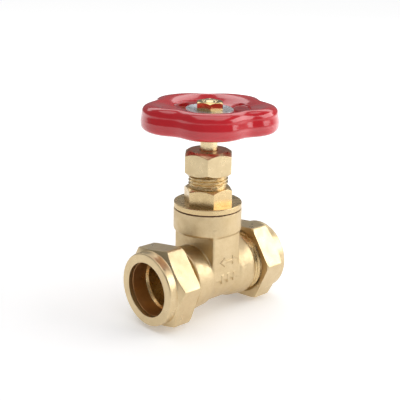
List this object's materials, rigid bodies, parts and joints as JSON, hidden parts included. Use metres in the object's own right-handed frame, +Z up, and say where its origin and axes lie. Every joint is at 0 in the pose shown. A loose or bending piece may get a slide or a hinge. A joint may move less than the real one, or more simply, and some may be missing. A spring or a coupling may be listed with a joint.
{
  "type": "gate valve",
  "caption": "Straight gate valve with compression ends for copper tube, a lobed handwheel on a non-rising stem, a packed gland and a wedge that lifts clear of the waterway.",
  "frame": {"origin": "centre of the inlet's mouth, in the outer face of the inlet nut", "axes": "+X along the pipe from the inlet to the outlet, +Z up the stem to the handwheel"},
  "size_m": [0.083, 0.0688, 0.1138],
  "materials": {
    "cast_brass": "blasted casting",
    "turned_brass": "turned, bright",
    "stem_brass": "turned, satin",
    "nut_brass": "satin, bright edges",
    "copper": "soft copper, satin",
    "red_enamel": "gloss enamel",
    "zinc": "matt",
    "graphite": "pressed graphite packing",
    "fibre": "fibre gasket",
    "acetal": "smooth plastic washer"
  },
  "bodies": {
    "valve_body": {"body": "cast_brass", "bonnet": "turned_brass", "bonnet_gasket": "fibre", "thrust_washer": "acetal", "packing_ring_lower": "graphite", "packing_ring_middle": "graphite", "packing_ring_upper": "graphite"},
    "spindle": {"stem": "stem_brass", "handwheel": "red_enamel", "hub_disc": "zinc", "wheel_nut": "nut_brass"},
    "gate": {"wedge": "cast_brass"},
    "gland": {"gland_follower": "turned_brass"},
    "gland_nut": {"packing_nut": "nut_brass"},
    "inlet_ring": {"inlet_olive": "copper"},
    "inlet_clamp": {"inlet_nut": "nut_brass"},
    "outlet_ring": {"outlet_olive": "copper"},
    "outlet_clamp": {"outlet_nut": "nut_brass"}
  },
  "joints": [
    {"name": "stem_turn", "type": "hinge", "parent": "valve_body", "child": "spindle", "pos_m": [0.0415, 0, 0.06], "axis": [0, 0, 1], "range_deg": [0, 2880]},
    {"name": "wedge_lift", "type": "slide", "parent": "valve_body", "child": "gate", "axis": [0, 0, 1], "range_m": [0, 0.024]},
    {"name": "gland_rise", "type": "slide", "parent": "valve_body", "child": "gland", "axis": [0, 0, 1], "range_m": [0, 0.0054]},
    {"name": "packing_nut_turn", "type": "hinge", "parent": "gland", "child": "gland_nut", "pos_m": [0.0415, 0, 0.061], "axis": [0, 0, 1], "range_deg": [0, 1070]},
    {"name": "inlet_nut_travel", "type": "slide", "parent": "valve_body", "child": "inlet_ring", "axis": [-1, 0, 0], "range_m": [0, 0.0061]},
    {"name": "inlet_nut_turn", "type": "hinge", "parent": "inlet_ring", "child": "inlet_clamp", "pos_m": [0.01, 0, 0], "axis": [-1, 0, 0], "range_deg": [0, 950]},
    {"name": "outlet_nut_travel", "type": "slide", "parent": "valve_body", "child": "outlet_ring", "axis": [1, 0, 0], "range_m": [0, 0.0061]},
    {"name": "outlet_nut_turn", "type": "hinge", "parent": "outlet_ring", "child": "outlet_clamp", "pos_m": [0.073, 0, 0], "axis": [1, 0, 0], "range_deg": [0, 950]}
  ],
  "couplings": [
    {"joint": "wedge_lift", "follows": "stem_turn", "m_per_rad": 0.00047746},
    {"joint": "gland_rise", "follows": "packing_nut_turn", "m_per_rad": 0.00028871},
    {"joint": "inlet_nut_travel", "follows": "inlet_nut_turn", "m_per_rad": 0.00036749},
    {"joint": "outlet_nut_travel", "follows": "outlet_nut_turn", "m_per_rad": 0.00036749}
  ]
}
